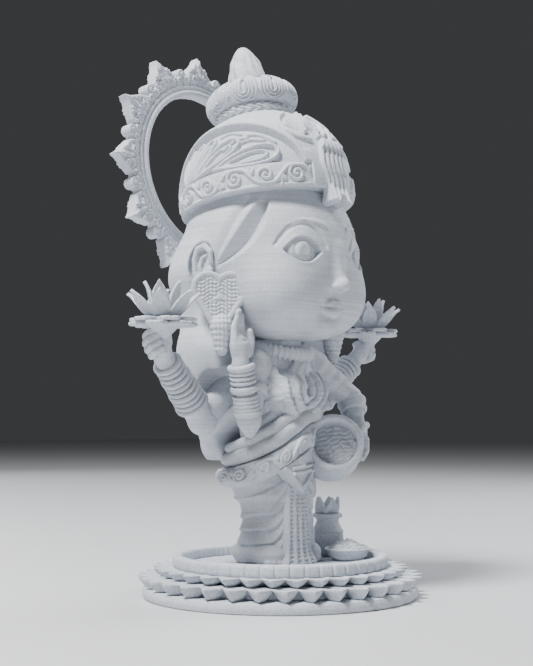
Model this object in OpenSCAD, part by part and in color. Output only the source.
// Four-armed goddess figurine on a double lotus pedestal, made as a kit of printed pieces.
// The figure faces -Y, its right hand is on the -X side, and the origin is the centre of the base.

/* [Pedestal] */
// Radius of the base disc
base_r = 39.2; // [38.5:0.1:40]
// Thickness of the base disc
base_h = 3; // [2.5:0.5:3]
// Number of petals in each lotus ring
petal_count = 34; // [24:2:36]
// Radius at the tips of the lower petals
lower_tip_r = 40.5; // [40.2:0.1:41]
// Radius at the tips of the upper petals
upper_tip_r = 36.4; // [36:0.1:37]
// Height of the seat floor that the figure stands on
seat_z = 9.2; // [9:0.1:9.4]

/* [Figure] */
// Radius of the skull sphere
head_r = 25.6; // [25:0.1:26]
// Radius of the jaw sphere
jaw_r = 18; // [17:0.5:18.5]
// Sideways distance of each leg from the middle
leg_dx = 3.4; // [3:0.1:3.8]
// Radius of the pins that join the figure to the pedestal
pin_r = 1.5; // [1.2:0.1:1.6]

/* [Crown] */
// Backward lean of the crown in degrees
crown_lean = 8; // [6:1:10]
// Radius of the crown dome
dome_r = 26; // [25.5:0.1:26.5]
// Outer radius of the head band
band_r = 26.3; // [26:0.1:26.8]
// Height of the head band
band_h = 7; // [6:0.5:7.5]
// Widest radius of the bun on top
bun_r = 13.4; // [12.5:0.1:13.8]

/* [Halo] */
// Radius of the opening inside the halo
halo_in_r = 22.8; // [22.5:0.1:23.2]
// Radius of the halo rim that the spikes stand on
halo_rim_r = 29.5; // [29:0.1:30]
// Radius at the spike tips
halo_tip_r = 35.8; // [35:0.1:36.5]
// Thickness of the halo
halo_t = 4.5; // [4:0.1:4.8]
// Backward lean of the halo in degrees
halo_lean = 5; // [3:1:6]
// Number of spikes, and of the knobs between them
spike_count = 12; // [10:1:14]

/* [Hidden] */
$fn = 48;
clear = 0.08;
big = 80;
print_white = [0.80, 0.82, 0.86];
print_shade = [0.74, 0.76, 0.81];

RIGHT = -1;
LEFT = 1;

// Pedestal levels
lower_top = base_h + 3.2;
ring_shelf = seat_z - 1;
spigot_r = 20;
seat_in_r = 27.5;
seat_out_r = 30.7;
seat_ring_top = 11.8;

// Body centre line and joints, [x, y, z]
body_y = 2;
waist_z = 44;
skirt_hem_z = 12.4;
neck_r = 6;
neck_z = 62;
neck_h = 14;
skull_c = [0, 4, 98];
jaw_c = [0, -2, 90.5];
crown_seat = [0, 6, 111];
crown_spigot_r = 18;
bun_lean = 13;
dome_top_z = 28;
collar_h = 2.2;
halo_c = [0, 32, 125.5];
peg_r = 2.5;
ear_c = [25, 6.3, 93.5];
veil_joint_y = 14;
veil_front_y = 2;
veil_t = 1.2;
veil_low_y = 15;
veil_shoulder_z = 70;
earring_c = [25.4, 0.3, 83];

// Arm joints for the left side; x is mirrored for the right side
front_shoulder = [12.5, -1.5, 65.5];
rear_shoulder = [11.5, 6, 61.5];
rear_elbow = [22, 7, 51];
rear_wrist = [41, 4.4, 66.5];
rear_palm = [44.6, 2.2, 71.4];
lotus_c = [46, 1.2, 76.3];
abhaya_elbow = [-17.2, -3.4, 48.6];
abhaya_wrist = [-22, -4.5, 65];
pot_elbow = [26.5, -5.5, 56.5];
pot_wrist = [23.6, -11.5, 49];
upper_arm_r = 4.2;
elbow_r = 3.9;
wrist_r = 3;
bangle_t = 0.8;

// Offerings
held_belly = [16, -6.2, 41.3];
held_mouth = [10, -13, 43.8];
held_belly_r = 9.2;
held_rim_r = 7.5;
pot_at = [22.2, 0, seat_z];
bowl_at = [17, -11.4, seat_z];
bowl_r = 6.8;

// ---------- helpers ----------

function side_of(side, p) = [side * p.x, p.y, p.z];
function mid(p, q, f) = p + f * (q - p);

// Places children so that their +Z runs from p towards q
module aim(p, q) {
    d = q - p;
    translate(p) rotate([0, acos(d.z / norm(d)), atan2(d.y, d.x)]) children();
}

module rod(p, q, r1, r2) aim(p, q) cylinder(h = norm(q - p), r1 = r1, r2 = r2);

module ball(p, r) translate(p) sphere(r = r);

// A limb with round ends, the rod a little thinner than the ends
module limb(p, q, r1, r2) {
    rod(p, q, r1 * 0.96, r2 * 0.96);
    ball(p, r1);
    ball(q, r2);
}

module finger(p, q, r) hull() {
    translate(p) sphere(r = r, $fn = 14);
    translate(q) sphere(r = r * 0.8, $fn = 14);
}

module crown_at(z) translate(crown_seat) rotate([-crown_lean, 0, 0]) translate([0, 0, z]) children();

module bun_at(z) crown_at(dome_top_z) rotate([crown_lean - bun_lean, 0, 0]) translate([0, 0, z]) children();

module halo_frame() translate(halo_c) rotate([90 - halo_lean, 0, 0]) children();

module on_circle(count, r, phase = 0)
    for (i = [0 : count - 1]) rotate([0, 0, (i + phase) * 360 / count]) translate([r, 0, 0]) children();

// ---------- pedestal ----------

module pin_bores() for (s = [RIGHT, LEFT])
    translate([s * 7, body_y, 1]) cylinder(r = pin_r + clear, h = 24);

module base_disc() color(print_white) difference() {
    cylinder(r = base_r, h = base_h, $fn = 96);
    pin_bores();
}

// The outline of a ring of pointed petals, tips at tip_r and notches at notch_r
function star_outline(count, notch_r, tip_r, phase) = [
    for (i = [0 : 2 * count - 1])
        (i % 2 == 0 ? tip_r : notch_r) * [cos((i / 2 + phase) * 360 / count), sin((i / 2 + phase) * 360 / count)]
];

module petal_ring(z0, z1, notch_r, tip_r, phase) difference() {
    translate([0, 0, z0]) linear_extrude(z1 - z0)
        polygon(star_outline(petal_count, notch_r, tip_r, phase));
    translate([0, 0, z0 - 1]) cylinder(r = spigot_r + clear, h = z1 - z0 + 2);
}

module lower_petal_ring() color(print_white) petal_ring(base_h, lower_top, lower_tip_r - 3.6, lower_tip_r, 0);

module upper_petal_ring() color(print_white)
    petal_ring(lower_top, ring_shelf, upper_tip_r - 3.4, upper_tip_r, 0.5);

module seat_floor() color(print_shade) difference() {
    union() {
        translate([0, 0, base_h]) cylinder(r = spigot_r, h = seat_z - base_h);
        translate([0, 0, ring_shelf]) cylinder(r = seat_in_r - clear, h = seat_z - ring_shelf, $fn = 96);
    }
    pin_bores();
}

module seat_ring() color(print_white) {
    mid_r = (seat_in_r + seat_out_r) / 2;
    half_w = (seat_out_r - seat_in_r) / 2;
    rotate_extrude($fn = 96) {
        translate([mid_r, seat_ring_top - half_w]) circle(half_w);
        translate([seat_in_r, ring_shelf]) square([seat_out_r - seat_in_r, seat_ring_top - half_w - ring_shelf]);
    }
}

module standing_pins() color(print_shade) for (s = [RIGHT, LEFT])
    translate([s * 7, body_y, 1]) cylinder(r = pin_r, h = 23);

// ---------- lower figure ----------

module foot_form(side) hull() {
    translate([side * 8.2, -3.4, seat_z + 2.6]) sphere(r = 3.6, $fn = 20);
    translate([side * 7, 3, seat_z + 3.4]) sphere(r = 4.2, $fn = 20);
    translate([side * 6.6, 7, seat_z + 3]) sphere(r = 3.6, $fn = 20);
}

module foot(side) difference() {
    foot_form(side);
    translate([0, 0, seat_z - big / 2]) cube(big, center = true);
    pin_bores();
}

module right_foot() color(print_white) foot(RIGHT);
module left_foot() color(print_white) foot(LEFT);

function skirt_profile() = [
    [0, skirt_hem_z], [9.2, skirt_hem_z], [8.2, 18], [9.6, 24], [11.8, 30], [12.6, 35], [11.3, 40], [9.8, waist_z],
    [0, waist_z]
];

module skirt_form() for (s = [RIGHT, LEFT])
    translate([s * leg_dx, body_y, 0]) rotate_extrude() polygon(skirt_profile());

module skirt() color(print_white) difference() {
    skirt_form();
    for (s = [RIGHT, LEFT]) foot_form(s);
    pin_bores();
    held_pot_form(clear);
}

// Upright folds that fan out a little at the floor
module front_pleats() color(print_white) difference() {
    for (i = [-2 : 2])
        rod([i * 2.8, -7.6 + abs(i) * 0.5, seat_z], [i * 2.1, -7.8 + abs(i) * 0.7, 30], 2, 1.7);
    skirt_form();
    for (s = [RIGHT, LEFT]) foot_form(s);
    translate([0, 0, seat_z - big / 2]) cube(big, center = true);
    apron_form();
}

// A pointed flap that hangs over the top of the pleats
module apron_form() translate([0, -8.4, 0]) rotate([90, 0, 0]) linear_extrude(4.2)
    polygon([[-11, 42], [0, 29.5], [11, 42]]);

module front_apron() color(print_white) difference() {
    apron_form();
    skirt_form();
    held_pot_form(clear);
    sash_form(2.6, 43.5, 2.4);
}

// A band round the hips in the slanted plane of the sash, high at the front left
module sash_form(tube, z, squash_r) translate([0, 1, z]) rotate([-22, -15, 0])
    rotate_extrude() translate([12 + squash_r, 0]) circle(tube);

module hip_sash() color(print_white) difference() {
    sash_form(2.6, 43.5, 2.4);
    skirt_form();
    torso_form();
    held_pot_form(clear);
}

module waist_roll() color(print_white) difference() {
    sash_form(2, 47.8, 0.6);
    forearm(abhaya_elbow, abhaya_wrist);
    sash_form(2.6 + clear, 43.5, 2.4);
    skirt_form();
    torso_form();
    held_pot_form(clear);
}

// ---------- upper figure ----------

module torso_form() difference() {
    hull() {
        for (s = [RIGHT, LEFT]) {
            translate([s * 4.4, 1.6, waist_z]) sphere(r = 8.4, $fn = 28);
            translate([s * 4.2, -0.8, 58]) sphere(r = 9.4, $fn = 28);
            translate([s * 9.5, 0.6, 65]) sphere(r = 5, $fn = 20);
        }
    }
    translate([0, 0, waist_z - big / 2]) cube(big, center = true);
}

module torso() color(print_white) difference() {
    torso_form();
    neck_form(clear);
    held_pot_form(clear);
    for (s = [RIGHT, LEFT]) {
        ball(side_of(s, front_shoulder), upper_arm_r + clear);
        ball(side_of(s, rear_shoulder), upper_arm_r + clear);
    }
}

// A folded cloth that runs from the right of the waist up over the left shoulder
module drape_form() {
    hull() {
        translate([-11, -5, 51]) sphere(r = 3.2, $fn = 20);
        translate([3, -9.6, 60]) sphere(r = 3.4, $fn = 20);
    }
    hull() {
        translate([3, -9.6, 60]) sphere(r = 3.4, $fn = 20);
        translate([10, -1, 70]) sphere(r = 2.6, $fn = 20);
    }
}

module front_arms_form(extra = 0) {
    limb(side_of(RIGHT, front_shoulder), abhaya_elbow, upper_arm_r + extra, elbow_r + extra);
    limb(front_shoulder, pot_elbow, upper_arm_r + extra, elbow_r + extra);
}

module saree_drape() color(print_white) difference() {
    drape_form();
    torso_form();
    head_form();
    sash_form(2 + clear, 47.8, 0.6);
    front_arms_form(clear);
    neck_form(clear);
    held_pot_form(clear);
}

module chest_garland() color(print_white) difference() {
    intersection() {
        translate([0, -4, 64]) rotate([38, 0, 0]) rotate_extrude() translate([9.4, 0]) circle(1.9);
        translate([0, -7 - big / 2, 64]) cube(big, center = true);
    }
    torso_form();
    drape_form();
}

module neck_form(extra = 0) translate([0, 0, neck_z]) cylinder(r = neck_r + extra, h = neck_h + extra);

module neck_post() color(print_white) neck_form();

// The back of the head is cut flat where the veil is bonded on
module head_form() difference() {
    union() {
        translate(skull_c) sphere(r = head_r, $fn = 96);
        ball(jaw_c, jaw_r);
    }
    translate([0, veil_joint_y + big / 2, skull_c.z]) cube(big, center = true);
}

module head() color(print_white) difference() {
    union() {
        difference() {
            union() {
                head_form();
                crown_at(-6) cylinder(r = band_r - 2.4, h = 6);
                ball([0, -20, 86.5], 2.2);
            }
            crown_at(0) cylinder(r = big, h = big);
        }
        crown_at(-4) cylinder(r = crown_spigot_r, h = band_h + 3.9);
    }
    neck_form(clear);
}

// Smooth cloth from the back of the crown down to a point behind the waist
module veil() color(print_white) difference() {
    hull() {
        translate(skull_c) sphere(r = head_r + veil_t, $fn = 40);
        for (s = [RIGHT, LEFT]) translate([s * 15, 10, 68]) sphere(r = 12.5, $fn = 28);
        translate([0, 18, 46]) sphere(r = 5, $fn = 20);
    }
    translate([0, veil_front_y - big / 2, 80]) cube([big * 2, big, big * 2], center = true);
    translate([0, veil_low_y - big / 2, veil_shoulder_z - big / 2]) cube([2 * big, big, big], center = true);
    neck_form(clear);
    head_form();
    crown_at(-6) cylinder(r = big, h = big);
    for (s = [RIGHT, LEFT]) ear_form(s);
    halo_peg_form(clear);
    halo_frame() translate([0, 0, halo_t / 2 + clear - big]) cylinder(r = big, h = big);
}

module ear_form(side) translate(side_of(side, ear_c)) rotate([0, 90, 0])
    cylinder(r = 4.6, h = 6, center = true);

module ear(side) difference() {
    ear_form(side);
    head_form();
}

module right_ear() color(print_white) ear(RIGHT);
module left_ear() color(print_white) ear(LEFT);

module heart_outline(r) {
    for (s = [RIGHT, LEFT]) translate([s * r * 0.86, 0]) circle(r);
    polygon([[-1.62 * r, -0.65 * r], [0, -2.2 * r], [1.62 * r, -0.65 * r], [0.9 * r, 0.5 * r], [-0.9 * r, 0.5 * r]]);
}

// A heart plate that faces half forward, with a tapered drop below it
module earring(side) difference() {
    translate(side_of(side, earring_c)) rotate([0, 0, side * 45]) rotate([90, 0, 0]) {
        translate([0, 3, -1.1]) linear_extrude(2.2) heart_outline(4);
        translate([0, -4.6, 0]) sphere(r = 3);
        rotate([90, 0, 0]) translate([0, 0, 6]) cylinder(r1 = 3.4, r2 = 1.7, h = 8);
        translate([0, -14, 0]) sphere(r = 1.9);
    }
    head_form();
    ear_form(side);
    translate([0, veil_front_y + big / 2 - clear, earring_c.z]) cube(big, center = true);
}

module right_earring() color(print_white) earring(RIGHT);
module left_earring() color(print_white) mirror([1, 0, 0]) earring(RIGHT);

// ---------- crown ----------

module crown_band() color(print_white) crown_at(0) difference() {
    cylinder(r = band_r, h = band_h, $fn = 96);
    translate([0, 0, -1]) cylinder(r = crown_spigot_r + clear, h = band_h + 2);
}

module dome_form() crown_at(4) sphere(r = dome_r, $fn = 96);

module crown_dome() color(print_white) difference() {
    dome_form();
    crown_at(band_h - big) cylinder(r = big, h = big);
    crown_at(band_h - 2) cylinder(r = crown_spigot_r + clear, h = 2);
    crown_at(dome_top_z) cylinder(r = big, h = big);
}

// Raised arched frames on both sides of the dome
module crown_side_panels() color(print_white) difference() {
    for (s = [RIGHT, LEFT]) crown_at(9) rotate([0, s * 62, 0]) translate([0, 0, 22])
        cylinder(r = 13, h = 5.2);
    dome_form();
    crown_at(band_h - big + clear) cylinder(r = big, h = big);
    crown_at(4) difference() {
        sphere(r = 2 * dome_r);
        sphere(r = dome_r + 1.3, $fn = 96);
    }
}

// A tall plate up the front of the crown, with a drop on the forehead
module crown_front_plate() color(print_white) difference() {
    crown_at(0) {
        translate([-4.5, -27.6, 0]) cube([9, 12, 17]);
        translate([0, -26.2, -1.6]) sphere(r = 2.4);
    }
    dome_form();
    crown_band_form();
    head_form();
    crown_at(-6) cylinder(r = band_r - 2.4, h = 6);
}

module crown_band_form() crown_at(-clear) cylinder(r = band_r + clear, h = band_h + 2 * clear, $fn = 96);

module bun_collar() color(print_white) crown_at(dome_top_z) cylinder(r = 11.4, h = collar_h);

function half_ellipse(rx, rz, n) = [for (i = [0 : n]) [rx * sin(i * 180 / n), -rz * cos(i * 180 / n)]];

module bun_form() bun_at(5.8) rotate_extrude() polygon(half_ellipse(bun_r, 6.4, 20));

module bun() color(print_white) difference() {
    bun_form();
    crown_at(dome_top_z + collar_h - big) cylinder(r = big, h = big);
}

module finial() color(print_white) difference() {
    bun_at(11) {
        cylinder(r = 5.3, h = 2.6);
        translate([0, 0, 2.6]) cylinder(r1 = 4.6, r2 = 0.7, h = 9.2);
    }
    bun_form();
}

// ---------- halo ----------

module halo_outline() {
    circle(halo_rim_r);
    for (i = [0 : spike_count - 1]) rotate(90 + i * 360 / spike_count)
        polygon([[halo_rim_r - 1.5, -5.4], [halo_rim_r + 1.2, -4.6], [halo_tip_r, 0], [halo_rim_r + 1.2, 4.6],
            [halo_rim_r - 1.5, 5.4]]);
}

module halo_peg_form(extra = 0) rod([0, 20, 99], [0, 32, 99], peg_r + extra, peg_r + extra);

module halo_form() halo_frame() {
    difference() {
        translate([0, 0, -halo_t / 2]) linear_extrude(halo_t) halo_outline();
        cylinder(r = halo_in_r, h = 3 * halo_t, center = true, $fn = 96);
    }
    rotate([0, 0, 90]) on_circle(spike_count, halo_rim_r + 1.9, 0.5) sphere(r = 2.2);
}

module halo_ring() color(print_white) difference() {
    halo_form();
    halo_peg_form(clear);
    dome_form();
}

module halo_peg() color(print_shade) halo_peg_form();

// ---------- arms ----------

// An upper arm that ends in the round seat of its elbow
module upper_arm(shoulder, elbow) difference() {
    limb(shoulder, elbow, upper_arm_r, elbow_r - 0.2);
    ball(elbow, elbow_r + clear);
}

module forearm(elbow, wrist) limb(elbow, wrist, elbow_r, wrist_r);

module bangles(elbow, wrist, from, to, count) {
    len = norm(wrist - elbow);
    for (i = [0 : count - 1]) {
        f = from + (to - from) * i / (count - 1);
        r_here = elbow_r + (wrist_r - elbow_r) * f;
        aim(elbow, wrist) translate([0, 0, f * len])
            rotate_extrude() translate([r_here + bangle_t + clear, 0]) circle(bangle_t * 0.86);
    }
}

module right_front_upper_arm() color(print_white) difference() {
    upper_arm(side_of(RIGHT, front_shoulder), abhaya_elbow);
    limb(abhaya_elbow, abhaya_wrist, elbow_r + clear, wrist_r);
    rod(mid(abhaya_elbow, abhaya_wrist, 0.12), abhaya_wrist, elbow_r + 2 * bangle_t, wrist_r + 2.4 * bangle_t);
    torso_form();
}
module right_front_forearm() color(print_white) forearm(abhaya_elbow, abhaya_wrist);
module right_front_bangles() color(print_white) bangles(abhaya_elbow, abhaya_wrist, 0.22, 0.96, 8);

// An open hand that points up with the palm to the front
module abhaya_hand_form(extra = 0) translate([-22.4, -4.7, 68.6]) {
    hull() {
        for (x = [-2, 2]) translate([x, 0, 0]) sphere(r = 1.9 + extra, $fn = 16);
        for (x = [-2, 2]) translate([x, 0, 4]) sphere(r = 1.6 + extra, $fn = 16);
    }
    for (i = [0 : 3])
        finger([-2.6 + i * 1.7, 0, 4], [-2.2 + i * 1.4, 0.4, 9 + (i == 1 || i == 2 ? 1 : 0)], 1 + extra);
    finger([2, -0.4, 0.6], [3.8, -1, 4.6], 1.1 + extra);
}

module right_front_hand() color(print_white) difference() {
    abhaya_hand_form();
    forearm(abhaya_elbow, abhaya_wrist);
}

module left_front_upper_arm() color(print_white) difference() {
    upper_arm(front_shoulder, pot_elbow);
    forearm(pot_elbow, pot_wrist);
    torso_form();
}
module left_front_forearm() color(print_white) forearm(pot_elbow, pot_wrist);
module left_front_bangles() color(print_white) bangles(pot_elbow, pot_wrist, 0.34, 0.82, 4);

module left_front_hand() color(print_white) difference() {
    union() {
        hull() {
            translate([23, -13.4, 46.2]) sphere(r = 2.6, $fn = 16);
            translate([22.6, -15, 42]) sphere(r = 2.2, $fn = 16);
        }
        for (i = [0 : 3]) finger([22.6, -15.4, 45.4 - i * 1.7], [18.6, -18, 45.4 - i * 1.9], 1.1);
    }
    forearm(pot_elbow, pot_wrist);
    held_pot_form(clear);
}

module rear_forearm_form(side, extra = 0)
    limb(side_of(side, rear_elbow), side_of(side, rear_wrist), elbow_r + extra, wrist_r + extra);

module rear_upper_arm(side) difference() {
    upper_arm(side_of(side, rear_shoulder), side_of(side, rear_elbow));
    rear_forearm_form(side);
    torso_form();
}

module right_rear_upper_arm() color(print_white) rear_upper_arm(RIGHT);
module left_rear_upper_arm() color(print_white) rear_upper_arm(LEFT);
module right_rear_forearm() color(print_white) rear_forearm_form(RIGHT);
module left_rear_forearm() color(print_white) rear_forearm_form(LEFT);

module rear_bangles(side) bangles(side_of(side, rear_elbow), side_of(side, rear_wrist), 0.34, 0.94, 7);
module right_rear_bangles() color(print_white) rear_bangles(RIGHT);
module left_rear_bangles() color(print_white) rear_bangles(LEFT);

// A closed hand round the lotus stem
module rear_hand(side) difference() {
    union() {
        hull() {
            translate(side_of(side, rear_palm)) sphere(r = 3, $fn = 18);
            translate(side_of(side, rear_palm) + [0, 0, -2.2]) sphere(r = 2.6, $fn = 18);
        }
        for (i = [0 : 3])
            finger(side_of(side, [46.4, -1.6 + i * 1.5, 70]), side_of(side, [47, -1.4 + i * 1.5, 72.6]), 1);
    }
    rear_forearm_form(side);
    translate(side_of(side, [lotus_c.x, lotus_c.y, 66])) cylinder(r = 1.1 + clear, h = 20);
}

module right_rear_hand() color(print_white) rear_hand(RIGHT);
module left_rear_hand() color(print_white) rear_hand(LEFT);

// ---------- lotuses ----------

module slot_petal(len, w, t) linear_extrude(t) {
    translate([0, -w / 2]) square([len - w / 2, w]);
    translate([len - w / 2, 0]) circle(w / 2);
}

// Two crossed layers of flat petals on a short stem
module lotus_plate(side) translate(side_of(side, lotus_c)) {
    for (i = [0 : 5]) rotate([0, 0, i * 60]) slot_petal(9, 5.6, 1);
    translate([0, 0, -1]) for (i = [0 : 5]) rotate([0, 0, 30 + i * 60]) slot_petal(9.2, 5.6, 1);
    translate([0, 0, -8]) cylinder(r = 1.1, h = 8);
}

module pointed_petal(len, w, t) linear_extrude(t)
    polygon([[-w * 0.35, 0], [-w / 2, len * 0.4], [0, len], [w / 2, len * 0.4], [w * 0.35, 0]]);

module lotus_petals(side) translate(side_of(side, lotus_c) + [0, 0, 1]) difference() {
    union() {
        for (i = [0 : 7]) rotate([0, 0, i * 45]) translate([0, 2.6, 0]) rotate([48, 0, 0])
            pointed_petal(10, 4, 0.8);
        for (i = [0 : 4]) rotate([0, 0, 20 + i * 72]) translate([0, 2.2, 0]) rotate([78, 0, 0])
            pointed_petal(11.6, 4, 0.8);
        cylinder(r = 3.6, h = 1.4);
    }
    translate([0, 0, -big]) cylinder(r = big, h = big);
}

module right_lotus_plate() color(print_white) lotus_plate(RIGHT);
module left_lotus_plate() color(print_white) lotus_plate(LEFT);
module right_lotus_petals() color(print_white) lotus_petals(RIGHT);
module left_lotus_petals() color(print_white) lotus_petals(LEFT);

// ---------- offerings ----------

module held_pot_form(extra = 0) {
    ball(held_belly, held_belly_r + extra);
    rod(mid(held_belly, held_mouth, 0.5), held_mouth, 6.6 + extra, held_rim_r + extra);
}

module held_pot() color(print_white) difference() {
    held_pot_form();
    rod(mid(held_belly, held_mouth, 0.6), mid(held_belly, held_mouth, 1.2), 5.8, 6.4);
}

module held_coins() color(print_shade)
    rod(mid(held_belly, held_mouth, 0.6), mid(held_belly, held_mouth, 0.86), 5.7, 5.9);

module standing_pot() color(print_white) translate(pot_at) difference() {
    rotate_extrude() polygon([[0, 0], [3.2, 0], [4.4, 2], [4.8, 4.6], [4.4, 8], [3.4, 10.2], [3.2, 11.2], [4.2, 11.6],
        [4.2, 12.5], [0, 12.5]]);
    translate([0, 0, 9]) cylinder(r = 2.6, h = 10);
}

module standing_leaves() color(print_white) translate(pot_at) {
    translate([0, 0, 9]) cylinder(r = 2.4, h = 3.6);
    for (i = [0 : 4]) rotate([0, 0, 20 + i * 72]) translate([0, 1.7, 11.6]) rotate([68, 0, 0])
        pointed_petal(6.8, 2.6, 0.8);
}

module coin_bowl() color(print_white) translate(bowl_at) difference() {
    cylinder(r1 = 4, r2 = bowl_r, h = 3.6);
    translate([0, 0, 1]) cylinder(r1 = 3.6, r2 = bowl_r - 0.8, h = 2.7);
}

module bowl_coins() color(print_shade) translate(bowl_at + [0, 0, 1]) intersection() {
    cylinder(r1 = 3.5, r2 = 8, h = 5);
    translate([0, 0, -4.4]) sphere(r = 9);
    cylinder(r = bowl_r - 1, h = 5);
}

// ---------- which piece is built ----------

base_disc();
lower_petal_ring();
upper_petal_ring();
seat_floor();
seat_ring();
standing_pins();
right_foot();
left_foot();
skirt();
front_pleats();
front_apron();
hip_sash();
waist_roll();
torso();
saree_drape();
chest_garland();
neck_post();
head();
veil();
right_ear();
left_ear();
right_earring();
left_earring();
crown_band();
crown_dome();
crown_side_panels();
crown_front_plate();
bun_collar();
bun();
finial();
halo_ring();
halo_peg();
right_front_upper_arm();
right_front_forearm();
right_front_hand();
right_front_bangles();
left_front_upper_arm();
left_front_forearm();
left_front_hand();
left_front_bangles();
right_rear_upper_arm();
right_rear_forearm();
right_rear_hand();
right_rear_bangles();
left_rear_upper_arm();
left_rear_forearm();
left_rear_hand();
left_rear_bangles();
right_lotus_plate();
right_lotus_petals();
left_lotus_plate();
left_lotus_petals();
held_pot();
held_coins();
standing_pot();
standing_leaves();
coin_bowl();
bowl_coins();
